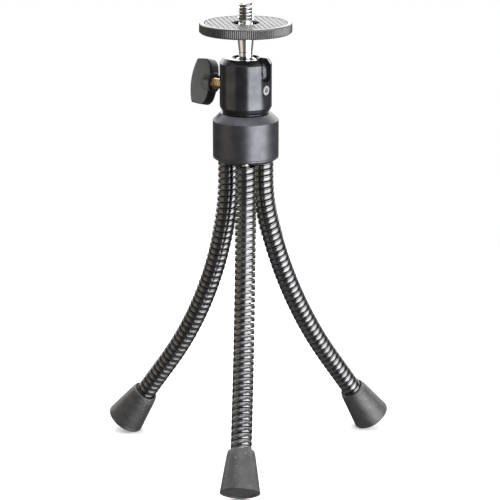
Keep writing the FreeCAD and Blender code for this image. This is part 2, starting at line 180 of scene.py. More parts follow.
class TripodStemSettings(bpy.types.PropertyGroup):
    """Stem on the ball."""
    waist_radius: size("Waist", "Radius of the stem above its foot", 2.5)
    waist_up: size("Waist height", "Height of the waist above the ball's centre", 7.6)
    taper_up: size("Taper height", "Height where the taper ends", 11.4)
    foot_radius: size("Foot", "Radius of the foot on the ball", 2.65)
    foot_gap: size("Foot gap", "Gap between the foot and the ball", 0.03)
    collar_up: size("Collar", "Height of the turned groove below the plate", 0.55)
    collar_in: size("Collar depth", "Depth of the turned groove", 0.22)
    edge: size("Edge", "Rounding of the turned edges", 0.25)


class TripodMountSettings(bpy.types.PropertyGroup):
    """Camera plate, pad and camera screw."""
    rim: size("Rim", "Width of the plate's smooth rim", 1.8)
    edge: size("Edge", "Rounding of the moulded edges", 0.12)
    web: size("Web", "Floor of the round window", 1.0)
    window: size("Window", "Radius of the round window", 5.15)
    ribs: IntProperty(name="Ribs", description="Ribs round the plate's edge", default=140, min=12)
    rib_low: size("Rib start", "Height of the ribs' lower ends on the plate's edge", 0.5)
    rib_high: size("Rib end", "How far below the rim the ribs end", 0.55)
    rib_depth: size("Rib depth", "Depth of the ribs round the edge", 0.26)
    pad_depth: size("Pad", "Thickness of the pad", 1.0)
    pad_gap: size("Pad gap", "Gap between the pad and the rim", 0.25)
    groove_pitch: size("Groove pitch", "Distance between the pad's grooves", 1.86)
    groove_width: size("Groove width", "Width of the pad's grooves", 1.05)
    groove_depth: size("Groove depth", "Depth of the pad's grooves", 0.42)
    groove_turn: turn("Groove direction", "Direction of the grooves, from the Y axis", 12.0)
    key_half_width: size("Key", "Half width of the flat key in the window", 2.6)
    pin_radius: size("Pin", "Radius of the screw's pin in the stem", 1.5)
    screw_radius: size("Camera screw", "Radius of the camera screw over its crests", 3.175)
    undercut: size("Undercut", "Radius of the screw below its thread", 2.5)
    undercut_height: size("Undercut height", "Height of the plain part below the thread", 0.9)
    pitch: size("Thread pitch", "Pitch of the camera thread", 1.27)
    thread_depth: size("Thread depth", "Depth of the camera thread", 0.72)
    chamfer: size("Chamfer", "Chamfer at the end of the screw", 0.75)
    # Radii of the painted shade in the thread roots: dark below the first, clean above the second.
    root_shade_low: size("Grease", "Radius of the thread below which grease lies", 2.50)
    root_shade_high: size("Grease edge", "Radius of the thread above which it is clean", 2.68)


class TripodKnobSettings(bpy.types.PropertyGroup):
    """Lock screw and wing knob."""
    boss_at: size("Boss", "Where the boss starts, from the head's axis", 14.7)
    boss_radius: size("Boss radius", "Radius of the boss", 4.0)
    boss_length: size("Boss length", "Length of the boss", 3.0)
    wing_at: size("Wing", "Where the wing starts, from the head's axis", 15.25)
    wing_end: size("Wing end", "Where the wing ends, from the head's axis", 24.4)
    root_half: size("Wing root", "Half width of the wing beside the boss", 3.6)
    half_span: size("Wing span", "Half width of the wing at its tips", 8.85)
    half_thickness: size("Wing thickness", "Half thickness of the wing", 2.75)
    sweep: size("Sweep", "How far the tips bend away from the head", 0.8)
    corner: size("Corner", "Slant of the wing's inner corners", 1.8)
    corner_round: size("Corner rounding", "Rounding of the wing's outline", 1.6)
    tip_back: size("Tip", "From the end of the wing back to its corners", 1.7)
    tip_in: size("Tip taper", "How far the outer corners are drawn in", 0.4)
    rounding: size("Rounding", "Rounding of the wing's edges", 0.9)
    lean: turn("Lean", "How far the knob is turned at rest", 14.0)
    bore: size("Bore", "Radius of the knob's bore", 2.05)
    bore_end: size("Bore end", "Where the bore ends, from the head's axis", 20.9)
    screw_start: size("Screw tip", "Where the lock screw's tip starts, from the head's axis", 4.9)
    screw_end: size("Screw end", "Where the lock screw ends, from the head's axis", 20.6)
    screw_radius: size("Lock screw", "Radius of the lock screw", 1.95)
    screw_tip: size("Screw tip flat", "Radius of the flat on the lock screw's tip", 0.4)
    screw_chamfer: size("Screw chamfer", "Chamfer at the lock screw's outer end", 0.3)
    pitch: size("Lock pitch", "Pitch of the lock screw's thread", 0.7)
    thread_depth: size("Lock thread depth", "Depth of the lock screw's thread", 0.32)


class TripodLegSettings(bpy.types.PropertyGroup):
    """Wound gooseneck legs and their feet."""
    radius: size("Radius", "Outside radius of the gooseneck", 4.0)
    pitch: size("Pitch", "Length of one turn", 2.4)
    scallop: size("Scallop", "Depth of the groove between turns", 0.36)
    lip_in: size("Lip height", "How far the narrow wire stands below the wide one", 0.10)
    lip: share("Lip", "Share of a turn taken by the narrow wire", 0.16)
    line: share("Line", "Share of a turn taken by the line between the two wires", 0.03)
    gap: share("Gap", "Share of a turn taken by the gap", 0.16)
    gap_depth: size("Gap depth", "Depth of the gaps between the wires", 1.6)
    blend_reach: size("Bend reach", "Half length of the stretch that bends at a joint", 6.0)
    steps: IntProperty(name="Steps", description="Steps round one turn", default=44, min=12)
    foot_length: size("Foot length", "Length of a foot", 16.5)
    foot_top: size("Foot top", "Radius of a foot's top", 5.15)
    foot_bottom: size("Foot sole", "Radius of a foot's sole", 7.6)
    foot_edge: size("Sole edge", "Rounding of the sole's edge", 0.6)
    foot_rim: size("Foot rim", "Rounding of the top rim", 0.7)
    foot_bore: size("Foot bore", "Radius of the mouth round the gooseneck", 4.42)
    foot_bore_depth: size("Foot bore depth", "How deep the gooseneck sits in the foot", 10.0)
    sole_recess: size("Sole recess", "Depth of the moulded hollow in the sole", 0.35)
    sole_rim: size("Sole rim", "Width of the rim round the hollow in the sole", 1.7)
    low_line: size("Lower line", "Height of the moulded line near the sole", 1.25)
    high_line: size("Upper line", "How far the moulded line near the top lies below it", 1.75)
    line_half: size("Line width", "Half width of the moulded lines", 0.15)


class TripodFinishSettings(bpy.types.PropertyGroup):
    """Colours of the finishes."""
    anodised: tint("Anodised", "Black anodised barrel and hub", 0.050, 0.051, 0.057)
    chrome: tint("Chrome", "Plated ball, stem and screw", 0.78, 0.78, 0.79)
    steel: tint("Steel", "Plain steel screws", 0.50, 0.50, 0.51)
    aluminium: tint("Aluminium", "Plain turned aluminium", 0.62, 0.62, 0.64)
    brass: tint("Brass", "Lock screw", 0.92, 0.70, 0.42)
    nylon: tint("Nylon", "Ball cup", 0.72, 0.71, 0.67)
    gooseneck: tint("Gooseneck", "Black gloss of the legs", 0.12, 0.12, 0.123)
    knob: tint("Knob", "Moulded knob", 0.036, 0.036, 0.037)
    plate: tint("Plate", "Moulded camera plate", 0.022, 0.022, 0.024)
    pad: tint("Pad", "Ribbed pad", 0.06, 0.06, 0.062)
    rubber: tint("Rubber", "Rubber of the feet", 0.029, 0.029, 0.030)
    floor: tint("Floor", "Pale floor", 0.90, 0.90, 0.90)


# ---- Meshes ---------------------------------------------------------------

def smooth(mesh):
    """Shade a mesh smooth but for its sharp edges."""
    mesh.polygons.foreach_set("use_smooth", [True] * len(mesh.polygons))
    mesh.set_sharp_from_angle(angle=SHARP_ANGLE)


def finish_mesh(piece):
    """Clean a piece's mesh: no doubles, normals outwards, smooth but for sharp edges."""
    work = bmesh.new()
    work.from_mesh(piece.data)
    bmesh.ops.remove_doubles(work, verts=work.verts, dist=1e-7)
    bmesh.ops.dissolve_degenerate(work, dist=1e-7, edges=work.edges)
    bmesh.ops.recalc_face_normals(work, faces=work.faces)
    work.to_mesh(piece.data)
    work.free()
    smooth(piece.data)
    piece.data.update()
    return piece


def solid(name, vertices, faces):
    """A new object from points and faces."""
    mesh = bpy.data.meshes.new(name)
    mesh.from_pydata([tuple(v) for v in vertices], [], faces)
    piece = bpy.data.objects.new(name, mesh)
    bpy.context.scene.collection.objects.link(piece)
    return finish_mesh(piece)


def soften(points, radius, closed=False, steps=4):
    """Round the corners of an outline of (radius, height) pairs."""
    points = [Vector(point) for point in points]
    line = [points[-1]] + points + [points[0]] if closed else points
    rounded = [] if closed else [points[0]]
    for before, corner, after in zip(line, line[1:], line[2:]):
        reach = min(radius, (before - corner).length * 0.45, (after - corner).length * 0.45)
        start = corner + (before - corner).normalized() * reach
        end = corner + (after - corner).normalized() * reach
        for step in range(steps + 1):
            t = step / steps
            rounded.append(start * (1 - t) ** 2 + corner * (2 * t * (1 - t)) + end * t ** 2)
    return rounded if closed else rounded + [points[-1]]


def turned(name, outline, segments=144, closed=False, wave=None):
    """A mesh turned about Z from (radius, height) pairs; wave may change the radius along an edge."""
    vertices, rows, faces = [], [], []
    for radius, height in outline:
        on_axis = radius < 1e-7
        row = []
        for step in range(1 if on_axis else segments):
            angle = 2 * math.pi * step / segments
            reach = wave(radius, angle) if wave else radius
            row.append(len(vertices))
            vertices.append((reach * math.cos(angle), reach * math.sin(angle), height))
        rows.append(row)
    for lower, upper in zip(rows, rows[1:] + rows[:1] if closed else rows[1:]):
        if len(lower) == len(upper) == 1:
            continue
        for step in range(segments):
            after = (step + 1) % segments
            corners = (lower[step % len(lower)], lower[after % len(lower)],
                       upper[after % len(upper)], upper[step % len(upper)])
            faces.append(tuple(dict.fromkeys(corners)))
    return solid(name, vertices, faces)


def wound(name, path, first, turns, pitch, outline, steps):
    """A closed tube with one outline wound round it. path gives a place, two directions across
    and the way along; the outline is (share of a turn, radius) pairs from nought to one."""
    vertices, faces = [], []
    rows = len(outline)
    last = turns * steps
    for index in range(last + 1):
        angle = 2 * math.pi * index / steps
        for part, radius in outline:
            distance = first + (index / steps + part) * pitch
            place, across, other = path(distance)
            reach = radius(distance) if callable(radius) else radius
            vertices.append(place + across * (reach * math.cos(angle)) + other * (reach * math.sin(angle)))
    for index in range(last):
        for row in range(rows - 1):
            corner = index * rows + row
            faces.append((corner, corner + rows, corner + rows + 1, corner + 1))
    start_loop = [index * rows for index in range(steps + 1)] + [row for row in range(rows - 2, 0, -1)]
    end_loop = [index * rows + rows - 1 for index in range(last - steps, last + 1)]
    end_loop += [last * rows + row for row in range(rows - 2, 0, -1)]
    for loop, middle in ((start_loop, first + pitch / 2), (end_loop, first + (turns + 0.5) * pitch)):
        vertices.append(path(middle)[0])
        for here, after in zip(loop, loop[1:] + loop[:1]):
            faces.append((here, after, len(vertices) - 1))
    return solid(name, vertices, faces)


def prism(name, corners, low, high):
    """An upright prism over an outline of (x, y) corners."""
    count = len(corners)
    vertices = [(x, y, low) for x, y in corners] + [(x, y, high) for x, y in corners]
    faces = [tuple(range(count - 1, -1, -1)), tuple(range(count, 2 * count))]
    faces += [(k, (k + 1) % count, (k + 1) % count + count, k + count) for k in range(count)]
    return solid(name, vertices, faces)


def rod(radius, start, end, azimuth, height, segments=64):
    """A round bar along a horizontal direction, to cut or join with."""
    bar = turned("tool", [(0, start), (radius, start), (radius, end), (0, end)], segments)
    bar.data.transform(lay(azimuth, height))
    return bar


def lay(azimuth, height):
    """Turns the upright axis into a horizontal direction at a height on the head's axis."""
    return (Matrix.Translation((0, 0, height)) @ Matrix.Rotation(azimuth, 4, "Z")
            @ Matrix.Rotation(math.pi / 2, 4, "Y"))


def with_modifier(piece, kind, **settings):
    """Apply one modifier to an object's mesh."""
    modifier = piece.modifiers.new(kind, kind)
    for key, value in settings.items():
        setattr(modifier, key, value)
    graph = bpy.context.evaluated_depsgraph_get()
    mesh = bpy.data.meshes.new_from_object(piece.evaluated_get(graph))
    piece.modifiers.clear()
    piece.data = mesh
    return piece


def bevel(piece, width, segments, degrees):
    """Round the edges that are sharper than an angle."""
    with_modifier(piece, "BEVEL", width=width, segments=segments, limit_method="ANGLE",
                  angle_limit=math.radians(degrees))


def cut(piece, *tools):
    """Take tools out of a piece."""
    for tool in tools:
        with_modifier(piece, "BOOLEAN", operation="DIFFERENCE", solver="EXACT", object=tool)
        bpy.data.objects.remove(tool)
    return finish_mesh(piece)


def join(name, *pieces):
    """One object from several; each part keeps its shape."""
    work = bmesh.new()
    for piece in pieces:
        work.from_mesh(piece.data)
        bpy.data.objects.remove(piece)
    mesh = bpy.data.meshes.new(name)
    work.to_mesh(mesh)
    work.free()
    whole = bpy.data.objects.new(name, mesh)
    bpy.context.scene.collection.objects.link(whole)
    smooth(mesh)
    return whole


def paint(piece, slot):
    """Give an object the finish of a slot and no other."""
    piece.data.materials.clear()
    piece.data.materials.append(finishes()[slot])


def dress(piece, slot, *nodes):
    """Give a piece its slot and finish, and let it stand for CAD nodes."""
    paint(piece, slot)
    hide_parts(*nodes)


def put(piece, body, slot, *nodes):
    """Let a whole piece ride on one body, and dress it."""
    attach(piece, body)
    dress(piece, slot, *nodes)


# ---- Shader maths ----------------------------------------------------------

class Value:
    """A number that varies over a surface: sums of these become Math nodes."""

    def __init__(self, graph, socket):
        self.graph = graph
        self.socket = socket

    def _with(self, operation, first, second):
        made = self.graph.node("ShaderNodeMath", {"operation": operation}, {0: first, 1: second})
        return Value(self.graph, made.outputs[0])

    def __add__(self, other):
        return self._with("ADD", self, other)

    def __sub__(self, other):
        return self._with("SUBTRACT", self, other)

    def __rsub__(self, other):
        return self._with("SUBTRACT", other, self)

    def __mul__(self, other):
        return self._with("MULTIPLY", self, other)

    def __pow__(self, other):
        return self._with("POWER", self, other)

    __radd__ = __add__
    __rmul__ = __mul__

    def angle_from(self, other):
        """Angle whose tangent is this over another."""
        return self._with("ARCTAN2", self, other)

    def rise(self, low, high):
        """From nought to one, smoothly, between two values."""
        settings = {"interpolation_type": "SMOOTHSTEP"}
        inputs = {"Value": self, "From Min": low, "From Max": high}
        made = self.graph.node("ShaderNodeMapRange", settings, inputs)
        return Value(self.graph, made.outputs[0])

    def band(self, low, low_end, high_start, high):
        """One between two values, fading to nought outside them."""
        return self.rise(low, low_end) * (1 - self.rise(high_start, high))


class Graph:
    """The nodes of one material or world."""

    def __init__(self, owner):
        owner.use_nodes = True
        self.tree = owner.node_tree
        self.tree.nodes.clear()

    def node(self, kind, settings, inputs):
        """Add a node: its settings first, then the values or links of its sockets."""
        made = self.tree.nodes.new(kind)
        for key, value in settings.items():
            setattr(made, key, value)
        for key, value in inputs.items():
            value = value.socket if isinstance(value, Value) else value
            if isinstance(value, bpy.types.NodeSocket):
                self.tree.links.new(value, made.inputs[key])
            else:
                made.inputs[key].default_value = value
        return made

    def place(self):
        """The point on the piece, in metres."""
        return self.node("ShaderNodeTexCoord", {}, {}).outputs["Object"]

    def scaled(self, vector, factors):
        """A vector times three factors."""
        settings = {"operation": "MULTIPLY"}
        return self.node("ShaderNodeVectorMath", settings, {0: vector, 1: factors}).outputs[0]

    def parts(self, vector):
        """The three numbers of a vector."""
        split = self.node("ShaderNodeSeparateXYZ", {}, {0: vector})
        return [Value(self, socket) for socket in split.outputs]

    def noise(self, vector, scale, detail=3.0, roughness=0.5):
        """Cloudy noise around one half."""
        inputs = {"Vector": vector, "Scale": scale, "Detail": detail, "Roughness": roughness}
        return Value(self, self.node("ShaderNodeTexNoise", {}, inputs).outputs["Fac"])

    def turning_marks(self, vector, across, along):
        """Noise stretched into fine rings about the upright axis."""
        return self.noise(self.scaled(vector, (across, across, along)), 1.0, 2.0)

    def cells(self, vector, scale):
        """Distance to the nearest of many scattered points."""
        inputs = {"Vector": vector, "Scale": scale}
        return Value(self, self.node("ShaderNodeTexVoronoi", {}, inputs).outputs["Distance"])

    def mixed(self, factor, first, second):
        """One colour fading into another."""
        inputs = {0: factor, 6: colour(first), 7: colour(second)}
        return self.node("ShaderNodeMix", {"data_type": "RGBA"}, inputs).outputs[2]

    def bump(self, height, distance, strength=1.0):
        """A normal from a height in metres."""
        inputs = {"Height": height, "Distance": distance, "Strength": strength}
        return self.node("ShaderNodeBump", {}, inputs).outputs["Normal"]

    def surface(self, **inputs):
        """The surface shader; names are written with underscores."""
        sockets = {key.replace("_", " "): colour(value) for key, value in inputs.items()}
        shader = self.node("ShaderNodeBsdfPrincipled", {}, sockets)
        self.node("ShaderNodeOutputMaterial", {}, {"Surface": shader.outputs[0]})


def colour(value):
    """Three numbers become four; everything else stays."""
    if isinstance(value, (Value, bpy.types.NodeSocket, int, float)):
        return value
    value = tuple(value)
    return value + (1.0,) if len(value) == 3 else value


def shade(value, factor):
    """A colour made lighter or darker."""
    return tuple(channel * factor for channel in value)


# ---- Finishes ---------------------------------------------------------------

SMEAR_SCALE = 420.0
SMEAR_DETAIL = 4.0
SMEAR_SHADE = 0.86
GRAIN_DETAIL = 4.0
GRAIN_ROUGHNESS = 0.65
GRAIN_STRENGTH = 0.9


def new_finish(slot):
    """An empty material for a slot and its nodes."""
    material = bpy.data.materials.new(FINISH_PREFIX + slot)
    return material, Graph(material)


def anodised_finish(settings):
    """Black anodised turned aluminium with fine turning marks; the hub is duller than the head."""
    material, graph = new_finish("black_anodised")
    place = graph.place()
    marks = graph.turning_marks(place, 40.0, 9000.0)
    clouds = graph.noise(place, 260.0)
    height = graph.parts(place)[2]
    seam = heights("head_housing")[0]
    hub = 1 - height.rise(seam - 0.1 * MM, seam + 0.1 * MM)
    base = graph.mixed(clouds.rise(0.3, 0.7) * 0.6 + hub * 0.4, shade(settings.anodised, 0.8),
                       shade(settings.anodised, 1.4))
    graph.surface(Base_Color=base, Metallic=0.85,
                  Roughness=0.13 + marks * 0.06 + clouds * 0.05 + hub * 0.2,
                  Normal=graph.bump(marks, 4 * MICRON, 0.6))
    return material


def polished_finish(name, base, roughness, marks_depth):
    """Plated or turned metal: faint turning marks and a little uneven gloss."""
    material, graph = new_finish(name)
    place = graph.place()
    marks = graph.turning_marks(place, 60.0, 7000.0)
    smears = graph.noise(place, SMEAR_SCALE, SMEAR_DETAIL)
    graph.surface(Base_Color=graph.mixed(smears, base, shade(base, SMEAR_SHADE)), Metallic=1.0,
                  Roughness=roughness + smears * roughness * 0.8,
                  Normal=graph.bump(marks, marks_depth, 0.5))
    return material


def chrome_finish(settings, thread_start, root, crest):
    """Plated metal, duller on the camera thread, whose roots are painted darker as painted shade."""
    material, graph = new_finish("chrome")
    place = graph.place()
    x, y, z = graph.parts(place)
    smears = graph.noise(place, SMEAR_SCALE, SMEAR_DETAIL)
    # Painted shade: the thread roots between the crests get a much darker colour and more roughness.
    depth = 1 - ((x * x + y * y) ** 0.5).rise(root, crest)
    thread = z.rise(thread_start, thread_start + 0.2 * MM)
    painted_root_shade = depth * thread
    plated = graph.mixed(smears, settings.chrome, shade(settings.chrome, SMEAR_SHADE))
    dulled = graph.mixed(thread, plated, shade(settings.chrome, 0.85))
    graph.surface(Base_Color=graph.mixed(painted_root_shade, dulled, shade(settings.chrome, 0.20)), Metallic=1.0,
                  Roughness=0.055 + smears * 0.05 + painted_root_shade * 0.3)
    return material


def gooseneck_finish(settings):
    """Black gloss on wound wire, with small smears and scratches."""
    material, graph = new_finish("black_gooseneck")
    place = graph.place()
    smears = graph.noise(place, 300.0, SMEAR_DETAIL)
    scratches = graph.turning_marks(place, 3500.0, 500.0)
    base = graph.mixed(smears.rise(0.3, 0.7), shade(settings.gooseneck, 0.8), shade(settings.gooseneck, 1.1))
    graph.surface(Base_Color=base, Metallic=0.95, Roughness=0.10 + smears * 0.08 + scratches * 0.04,
                  Normal=graph.bump(scratches, 8 * MICRON, 0.4))
    return material


def knob_finish(settings, axis, lean):
    """Moulded knob: grained broad faces painted lighter as painted light; ends painted much darker as painted
    shade, and smoother.
    """
    material, graph = new_finish("knob_plastic")
    place = graph.place()
    grain = graph.noise(place, 3600.0, GRAIN_DETAIL, GRAIN_ROUGHNESS)
    upward = Vector((0, 0, 1))
    broad = axis.cross(upward) * math.cos(lean) + upward * math.sin(lean)
    normal = graph.node("ShaderNodeTexCoord", {}, {}).outputs["Normal"]
    along = graph.node("ShaderNodeVectorMath", {"operation": "DOT_PRODUCT"}, {0: normal, 1: tuple(broad)})
    along = Value(graph, along.outputs["Value"])
    # Painted light and shade: the broad faces get a lighter colour and the ends a much darker one, for how the
    # light falls on the knob.
    flat = (along * along).rise(0.45, 0.85)
    painted_lit_face_tone = graph.mixed(grain.rise(0.3, 0.7), shade(settings.knob, 1.9), shade(settings.knob, 3.5))
    graph.surface(Base_Color=graph.mixed(flat, shade(settings.knob, 0.15), painted_lit_face_tone), Metallic=0.0,
                  Specular_IOR_Level=0.25, Roughness=0.42 + flat * 0.2,
                  Normal=graph.bump(grain, 120 * MICRON, GRAIN_STRENGTH))
    return material


def moulded_finish(name, base, roughness, grain_scale, grain_depth, specks):
    """Moulded plastic or rubber: fine grain, mottled colour and a few light specks."""
    material, graph = new_finish(name)
    place = graph.place()
    grain = graph.noise(place, grain_scale, GRAIN_DETAIL, GRAIN_ROUGHNESS)
    mottle = graph.noise(place, grain_scale * 0.22)
    patches = graph.noise(place, 500.0).rise(0.50, 0.62)
    dust = (1 - graph.cells(place, grain_scale * 0.35).rise(0.10, 0.24)) * patches
    body = graph.mixed((mottle * 0.4 + grain * 0.6).rise(0.38, 0.62), shade(base, 0.7), shade(base, 1.4))
    graph.surface(Base_Color=graph.mixed(dust * specks, body, shade(base, 8.0)), Metallic=0.0,
                  Roughness=roughness + (grain - 0.5) * 0.25,
                  Normal=graph.bump(grain, grain_depth, GRAIN_STRENGTH))
    return material


def finishes():
    """Every finish, made once and looked up by its slot."""
    found = {slot: bpy.data.materials.get(FINISH_PREFIX + slot) for slot in SLOTS}
    if all(found.values()):
        return found
    settings = bpy.context.scene.tripod_finish
    mount = bpy.context.scene.tripod_mount
    thread_start = heights("platform_disc")[1] + mount.undercut_height
    knob_axis = Vector(JOINTS["knob_turn"]["axis"])
    return {
        "black_anodised": anodised_finish(settings),
        "plain_aluminium": polished_finish("plain_aluminium", settings.aluminium, 0.22, 10 * MICRON),
        "steel": polished_finish("steel", settings.steel, 0.34, 4 * MICRON),
        "chrome": chrome_finish(settings, thread_start, mount.root_shade_low, mount.root_shade_high),
        "brass": polished_finish("brass", settings.brass, 0.16, 4 * MICRON),
        "black_gooseneck": gooseneck_finish(settings),
        "knob_plastic": knob_finish(settings, knob_axis, bpy.context.scene.tripod_knob.lean),
        "disc_plastic": moulded_finish("disc_plastic", settings.plate, 0.26, 3600.0, 12 * MICRON, 0.0),
        "pad_rubber": moulded_finish("pad_rubber", settings.pad, 0.42, 3000.0, 30 * MICRON, 0.0),
        "foot_rubber": moulded_finish("foot_rubber", settings.rubber, 0.38, 1500.0, 220 * MICRON, 0.6),
        "nylon": moulded_finish("nylon", settings.nylon, 0.35, 1800.0, 20 * MICRON, 0.0),
    }


# ---- Hub and head ------------------------------------------------------------

def hub_cover(sizes):
    """Turned cap with a conical top."""
    low, high = heights("hub_cover")
    radius = half_width("hub_cover")
    inner = radius - sizes.wall
    roof = high - sizes.roof
    outline = [(inner, low), (radius, low), (radius, high - sizes.cone_drop), (radius - sizes.cone_in, high),
               (sizes.hole, high), (sizes.hole, roof), (inner, roof)]
    piece = turned("hub_cover_shell", soften(outline, sizes.edge, closed=True), closed=True)
    put(piece, "hub", "black_anodised", "hub_cover")


def leg_plate(sizes):
    """Floor of the hub with a recess for each leg."""
    low, high = heights("leg_plate")
    radius = half_width("leg_plate")
    seam = heights("hub_cover")[0]
    spigot = radius - sizes.wall - sizes.fit
    outline = [(sizes.hole, low), (radius - sizes.bevel_in, low), (radius, low + sizes.bevel_up),
               (radius, seam), (spigot, seam), (spigot, high), (sizes.hole, high)]
    piece = turned("leg_plate_disc", soften(outline, sizes.edge, closed=True), closed=True)
    for leg in LEGS:
        root = pivot(leg + "_leg_swing")
        floor = low + sizes.recess_depth
        outline = [(0, low - MM), (sizes.recess_radius, low - MM), (sizes.recess_radius, floor),
                   (sizes.pin_hole, floor), (sizes.pin_hole, high + MM), (0, high + MM)]
        recess = turned("tool", outline, 64)
        recess.data.transform(Matrix.Translation((root.x, root.y, 0)))
        cut(piece, recess)
    put(piece, "hub", "black_anodised", "leg_plate")


SEARCH_STEP = 0.01 * MM


def head_barrel(sizes):
    """Barrel with a seat, a countersunk mouth and a slot for the dropped stem."""
    low, high = heights("head_housing")
    radius = half_width("head_housing")
    centre = pivot("side_tilt").z
    seat = half_width("ball") + sizes.seat_play
    fall = (sizes.mouth_radius - sizes.mouth_low_radius) / sizes.mouth_depth
    levels = (high - step * SEARCH_STEP for step in range(600))
    meet = next(z for z in levels if math.hypot(sizes.mouth_radius - fall * (high - z), z - centre) < seat)
    meet_angle = math.acos(min(1.0, (meet - centre) / seat))
    dome = [(seat * math.sin(a), centre + seat * math.cos(a))
            for a in (meet_angle + (math.pi / 2 - meet_angle) * k / 10 for k in range(11))]
    foot = radius - sizes.neck_in
    outer = [(sizes.bore, low), (foot, low), (foot, low + sizes.neck_up), (radius, low + sizes.chamfer_up),
             (radius, high - sizes.shoulder_drop), (radius - sizes.shoulder_in, high),
             (sizes.mouth_radius, high)]
    outline = soften(outer + [dome[0]], sizes.edge)[:-1] + dome + [(sizes.bore, centre)]
    piece = turned("head_barrel", outline, 192, closed=True)
    slot_side = outward_azimuth() + math.pi
    reach = 2 * radius
    clamp = pivot("knob_turn").z
    chute = prism("tool", [(0, -sizes.slot_radius), (reach, -sizes.slot_radius), (reach, sizes.slot_radius),
                           (0, sizes.slot_radius)], centre, high + MM)
    chute.data.transform(Matrix.Rotation(slot_side, 4, "Z"))
    cut(piece, rod(sizes.slot_radius, 0, reach, slot_side, centre), chute,
        rod(sizes.guide_radius, 0, reach, slot_side, clamp),
        rod(sizes.lock_radius, 0, reach, slot_side + math.pi, clamp))
    bevel(piece, sizes.slot_edge, 2, 55)
    finish_mesh(piece)
    put(piece, "head", "black_anodised", "head_housing")


def ball_stem(sizes):
    """Tapered stem with a hollow foot on the ball."""
    centre = pivot("side_tilt").z
    ball = half_width("ball")
    high = heights("stem")[1]
    radius = half_width("stem")
    foot_angle = math.asin(sizes.foot_radius / ball)
    hollow_radius = ball + sizes.foot_gap
    hollow = [(hollow_radius * math.sin(a), centre + hollow_radius * math.cos(a))
              for a in (foot_angle * k / 6 for k in range(7))]
    neck = high - sizes.collar_up
    collar = radius - sizes.collar_in
    flank = [(sizes.waist_radius, centre + sizes.waist_up), (radius, centre + sizes.taper_up), (radius, neck),
             (collar, neck + 0.08 * MM), (collar, neck + 0.25 * MM), (radius, neck + 0.33 * MM),
             (radius, high), (0, high)]
    piece = turned("chrome_stem", soften(hollow + flank, sizes.edge), 96)
    put(piece, "stem", "chrome", "stem")


# ---- Camera mount --------------------------------------------------------------

def straight(azimuth, height, along):
    """A straight path for a thread: upright, or out along a horizontal direction."""
    if along == "Z":
        return lambda distance: (Vector((0, 0, height + distance)), Vector((1, 0, 0)), Vector((0, 1, 0)))
    way = Vector((math.cos(azimuth), math.sin(azimuth), 0))
    side = Vector((-way.y, way.x, 0))
    return lambda distance: (Vector((0, 0, height)) + way * distance, side, Vector((0, 0, 1)))


def threaded(name, path, length, pitch, crest, depth, limit, steps=48):
    """A screw thread with flat ends; limit gives the largest radius at a distance."""
    root = crest - depth
    outline = [(0.0, root), (0.12, root), (0.44, crest), (0.56, crest), (0.88, root), (1.0, root)]

    def kept(distance):
        return min(max(distance, 0.0), length)

    bounded = [(part, lambda distance, radius=radius: min(radius, limit(kept(distance))))
               for part, radius in outline]
    turns = math.ceil(length / pitch) + 2
    return wound(name, lambda distance: path(kept(distance)), -1.5 * pitch, turns, pitch, bounded, steps)


def camera_screw(sizes):
    """Camera screw: thread, undercut, flat key in the window and pin in the stem."""
    low, high = heights("camera_screw")
    plate_low, plate_top = heights("platform_disc")
    crest = sizes.screw_radius
    length = high - plate_top

    def limit(distance):
        start = sizes.undercut + max(0.0, distance - sizes.undercut_height) * 2
        end = crest - sizes.chamfer + (length - distance)
        return min(crest, start, end)

    thread = threaded("thread", straight(0, plate_top, "Z"), length, sizes.pitch, crest,
                      sizes.thread_depth, limit)
    window = sizes.window - HAIR
    reach = math.asin(sizes.key_half_width / window)
    arc = [(window * math.sin(a), window * math.cos(a)) for a in (reach * (1 - k / 4) for k in range(9))]
    floor = plate_low + sizes.web
    key = prism("key", arc + [(-x, -y) for x, y in arc], floor, plate_top - HAIR)
    bevel(key, 0.15 * MM, 2, 40)
    outline = [(0, low), (sizes.pin_radius, low), (sizes.pin_radius, floor), (0, floor)]
    pin = turned("pin", soften(outline, 0.1 * MM), 48)
    piece = join("camera_screw_thread", thread, key, pin)
    put(piece, "mount", "chrome", "camera_screw")


def camera_plate(sizes):
    """Round plate with a ribbed edge, a smooth rim and a window."""
    low, high = heights("platform_disc")
    radius = half_width("platform_disc")
    pad = radius - sizes.rim

    def ribs(reach, angle):
        if reach < radius - HAIR:
            return reach
        return reach - sizes.rib_depth * (0.5 - 0.5 * math.cos(sizes.ribs * angle)) ** 0.7

    lower = [(sizes.pin_radius, low), (radius - 0.6 * MM, low), (radius - 0.2 * MM, low + 0.35 * MM)]
    side = [(radius, low + sizes.rib_low), (radius, high - sizes.rib_high)]
    upper = [(radius - 0.17 * MM, high - 0.4 * MM), (radius - 0.22 * MM, high - 0.2 * MM),
             (radius - 0.55 * MM, high), (pad, high), (pad, high - sizes.pad_depth)]
    inner = [(sizes.window, high - sizes.pad_depth), (sizes.window, low + sizes.web),
             (sizes.pin_radius, low + sizes.web)]
    outline = lower + side + soften(upper, sizes.edge) + soften(inner, 0.1 * MM)
    piece = turned("ribbed_plate", outline, sizes.ribs * 8, closed=True, wave=ribs)
    put(piece, "mount", "disc_plastic", "platform_disc")


GROOVE_TAPER = 0.9


